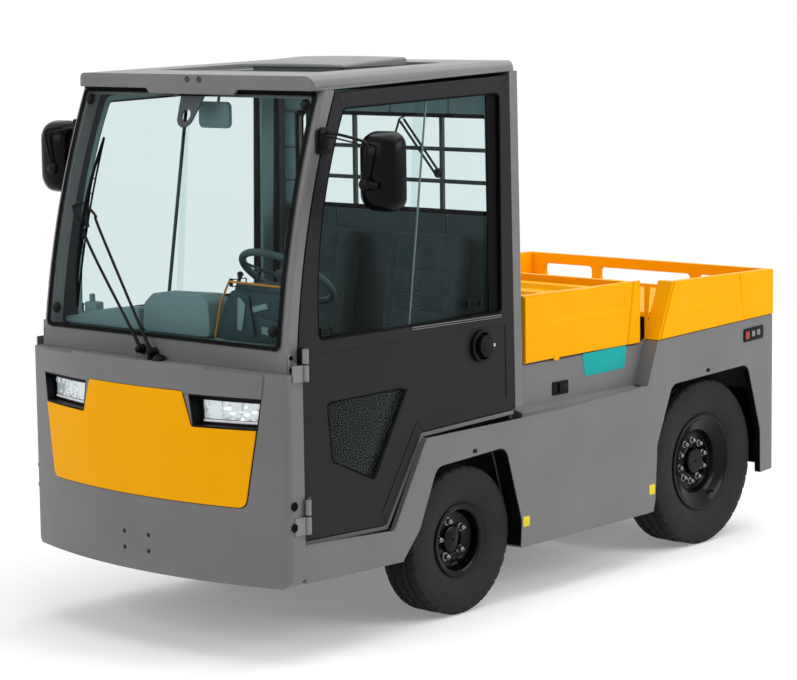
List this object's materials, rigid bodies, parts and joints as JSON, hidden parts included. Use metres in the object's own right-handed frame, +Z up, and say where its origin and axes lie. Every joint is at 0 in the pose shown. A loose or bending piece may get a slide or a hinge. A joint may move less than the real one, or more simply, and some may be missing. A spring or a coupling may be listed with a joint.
{
  "type": "airport baggage tow tractor",
  "caption": "Battery tow tractor with a closed two-seat cab, steered front wheels, side doors, a lifting battery hood and a rear drawbar coupling.",
  "frame": {"origin": "on the ground, in the middle of the bounding box", "axes": "+Z up, -Y towards the front of the vehicle, +X towards the vehicle's left side"},
  "size_m": [1.91, 3.357, 2.1869],
  "materials": {
    "body_grey": "satin",
    "yellow": "satin",
    "door_anthracite": "satin",
    "chassis_black": "satin",
    "black_plastic": "matte",
    "glass": "gloss",
    "lamp_lens": "gloss",
    "lamp_red": "gloss",
    "tyre_rubber": "matte",
    "rim_black": "satin",
    "cast_metal": "rough",
    "steel": "satin",
    "battery_case": "satin",
    "seat_cloth": "matte"
  },
  "bodies": {
    "chassis": {"front_apron": "body_grey", "skirt_left": "body_grey", "skirt_right": "body_grey", "cab_frame": "body_grey", "cab_back_wall": "body_grey", "roof": "body_grey", "roof_cover": "body_grey", "rear_cover": "body_grey", "rear_panel": "body_grey", "door_sills": "body_grey", "hinge_brackets": "body_grey", "nose_panel": "yellow", "chassis_frame": "chassis_black", "front_axle": "chassis_black", "drive_axle": "chassis_black", "window_guard": "chassis_black", "seat_pedestals": "chassis_black", "tow_coupling": "chassis_black", "arch_liners": "black_plastic", "dashboard": "black_plastic", "steering_wheel": "black_plastic", "steering_column": "black_plastic", "cab_floor": "black_plastic", "lamp_bezels": "black_plastic", "windscreen": "glass", "rear_window": "glass", "headlamps": "lamp_lens", "tail_lamps": "lamp_red", "marker_lamps": "lamp_red", "drive_motor": "cast_metal", "coupling_pin": "steel", "battery": "battery_case", "driver_seat_cushion": "seat_cloth", "driver_seat_backrest": "seat_cloth", "passenger_seat_cushion": "seat_cloth", "passenger_seat_backrest": "seat_cloth"},
    "door_left": {"door_left": "door_anthracite", "door_glass_left": "glass", "door_handle_left": "black_plastic", "mirror_left": "black_plastic"},
    "door_right": {"door_right": "door_anthracite", "door_glass_right": "glass", "door_handle_right": "black_plastic", "mirror_right": "black_plastic"},
    "hood": {"hood": "yellow"},
    "knuckle_left": {"knuckle_left": "chassis_black"},
    "knuckle_right": {"knuckle_right": "chassis_black"},
    "tie_rod": {"tie_rod": "chassis_black"},
    "wheel_front_left": {"tyre_front_left": "tyre_rubber", "rim_front_left": "rim_black"},
    "wheel_front_right": {"tyre_front_right": "tyre_rubber", "rim_front_right": "rim_black"},
    "wheel_rear_left": {"tyre_rear_left": "tyre_rubber", "rim_rear_left": "rim_black"},
    "wheel_rear_right": {"tyre_rear_right": "tyre_rubber", "rim_rear_right": "rim_black"}
  },
  "joints": [
    {"name": "steer_left", "type": "hinge", "parent": "chassis", "child": "knuckle_left", "pos_m": [0.445, -0.5515, 0.295], "axis": [0, 0, 1], "range_deg": [-30, 30]},
    {"name": "steer_right", "type": "hinge", "parent": "chassis", "child": "knuckle_right", "pos_m": [-0.445, -0.5515, 0.295], "axis": [0, 0, 1], "range_deg": [-30, 30]},
    {"name": "tie_rod_slide", "type": "slide", "parent": "chassis", "child": "tie_rod", "axis": [1, 0, 0], "range_m": [-0.0701, 0.0701]},
    {"name": "roll_front_left", "type": "hinge", "parent": "knuckle_left", "child": "wheel_front_left", "pos_m": [0.5675, -0.5515, 0.295], "axis": [1, 0, 0], "continuous": true},
    {"name": "roll_front_right", "type": "hinge", "parent": "knuckle_right", "child": "wheel_front_right", "pos_m": [-0.5675, -0.5515, 0.295], "axis": [1, 0, 0], "continuous": true},
    {"name": "roll_rear_left", "type": "hinge", "parent": "chassis", "child": "wheel_rear_left", "pos_m": [0.5575, 1.0985, 0.365], "axis": [1, 0, 0], "continuous": true},
    {"name": "roll_rear_right", "type": "hinge", "parent": "chassis", "child": "wheel_rear_right", "pos_m": [-0.5575, 1.0985, 0.365], "axis": [1, 0, 0], "continuous": true},
    {"name": "door_left_swing", "type": "hinge", "parent": "chassis", "child": "door_left", "pos_m": [0.707, -1.4775, 1.1], "axis": [0, 0, -1], "range_deg": [0, 85]},
    {"name": "door_right_swing", "type": "hinge", "parent": "chassis", "child": "door_right", "pos_m": [-0.707, -1.4775, 1.1], "axis": [0, 0, 1], "range_deg": [0, 85]},
    {"name": "hood_lift", "type": "hinge", "parent": "chassis", "child": "hood", "pos_m": [0, 0.6745, 1.191], "axis": [-1, 0, 0], "range_deg": [0, 65]}
  ],
  "couplings": [
    {"joint": "steer_right", "follows": "steer_left", "ratio": 1},
    {"joint": "tie_rod_slide", "follows": "steer_left", "m_per_rad": -0.1337}
  ]
}
